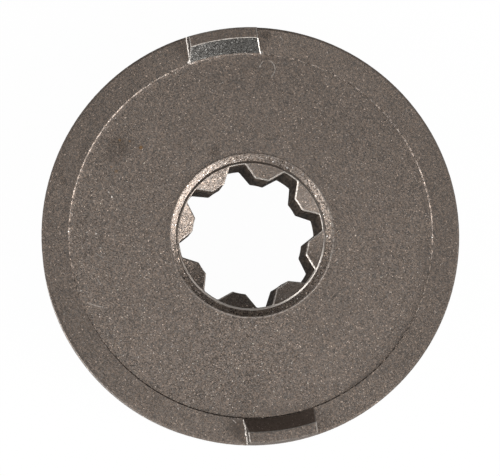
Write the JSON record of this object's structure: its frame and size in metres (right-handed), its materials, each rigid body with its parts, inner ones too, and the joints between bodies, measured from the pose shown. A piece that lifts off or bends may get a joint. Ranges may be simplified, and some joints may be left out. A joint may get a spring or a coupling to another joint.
{
  "type": "chainsaw rim sprocket",
  "caption": "Round sintered-steel rim sprocket for a chainsaw: splined bore, chain pockets between two rails, and raised drive dogs on the front ring.",
  "frame": {"origin": "on the shaft axis, in the plane of the flat back face", "axes": "+Z along the shaft, out of the face that carries the drive dogs; +Y through one of the two dogs"},
  "size_m": [0.0362, 0.0362, 0.0107],
  "materials": {
    "sintered_steel": "satin"
  },
  "bodies": {
    "root": {"rim_sprocket": "sintered_steel"}
  },
  "joints": []
}
